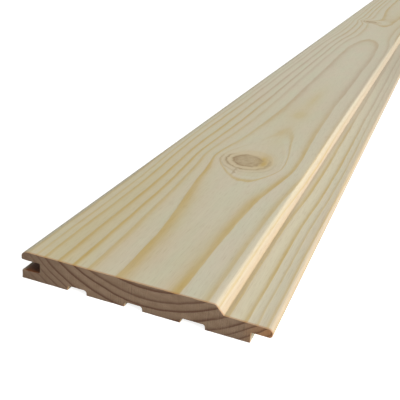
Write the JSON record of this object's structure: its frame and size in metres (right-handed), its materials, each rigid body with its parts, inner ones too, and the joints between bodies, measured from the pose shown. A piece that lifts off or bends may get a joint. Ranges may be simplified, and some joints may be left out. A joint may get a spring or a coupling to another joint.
{
  "type": "tongue and groove board",
  "caption": "Planed softwood lining board with a tongue, a groove, a bevelled face with a sunk shelf, and relief channels in its back.",
  "frame": {"origin": "centre of the board's width and length, on the plane of its back", "axes": "+Y along the grain, +Z out of the face, +X across the board towards the tongue"},
  "size_m": [0.12, 2.4, 0.014],
  "materials": {
    "pine": "planed, bare"
  },
  "bodies": {
    "root": {"board": "pine"}
  },
  "joints": []
}
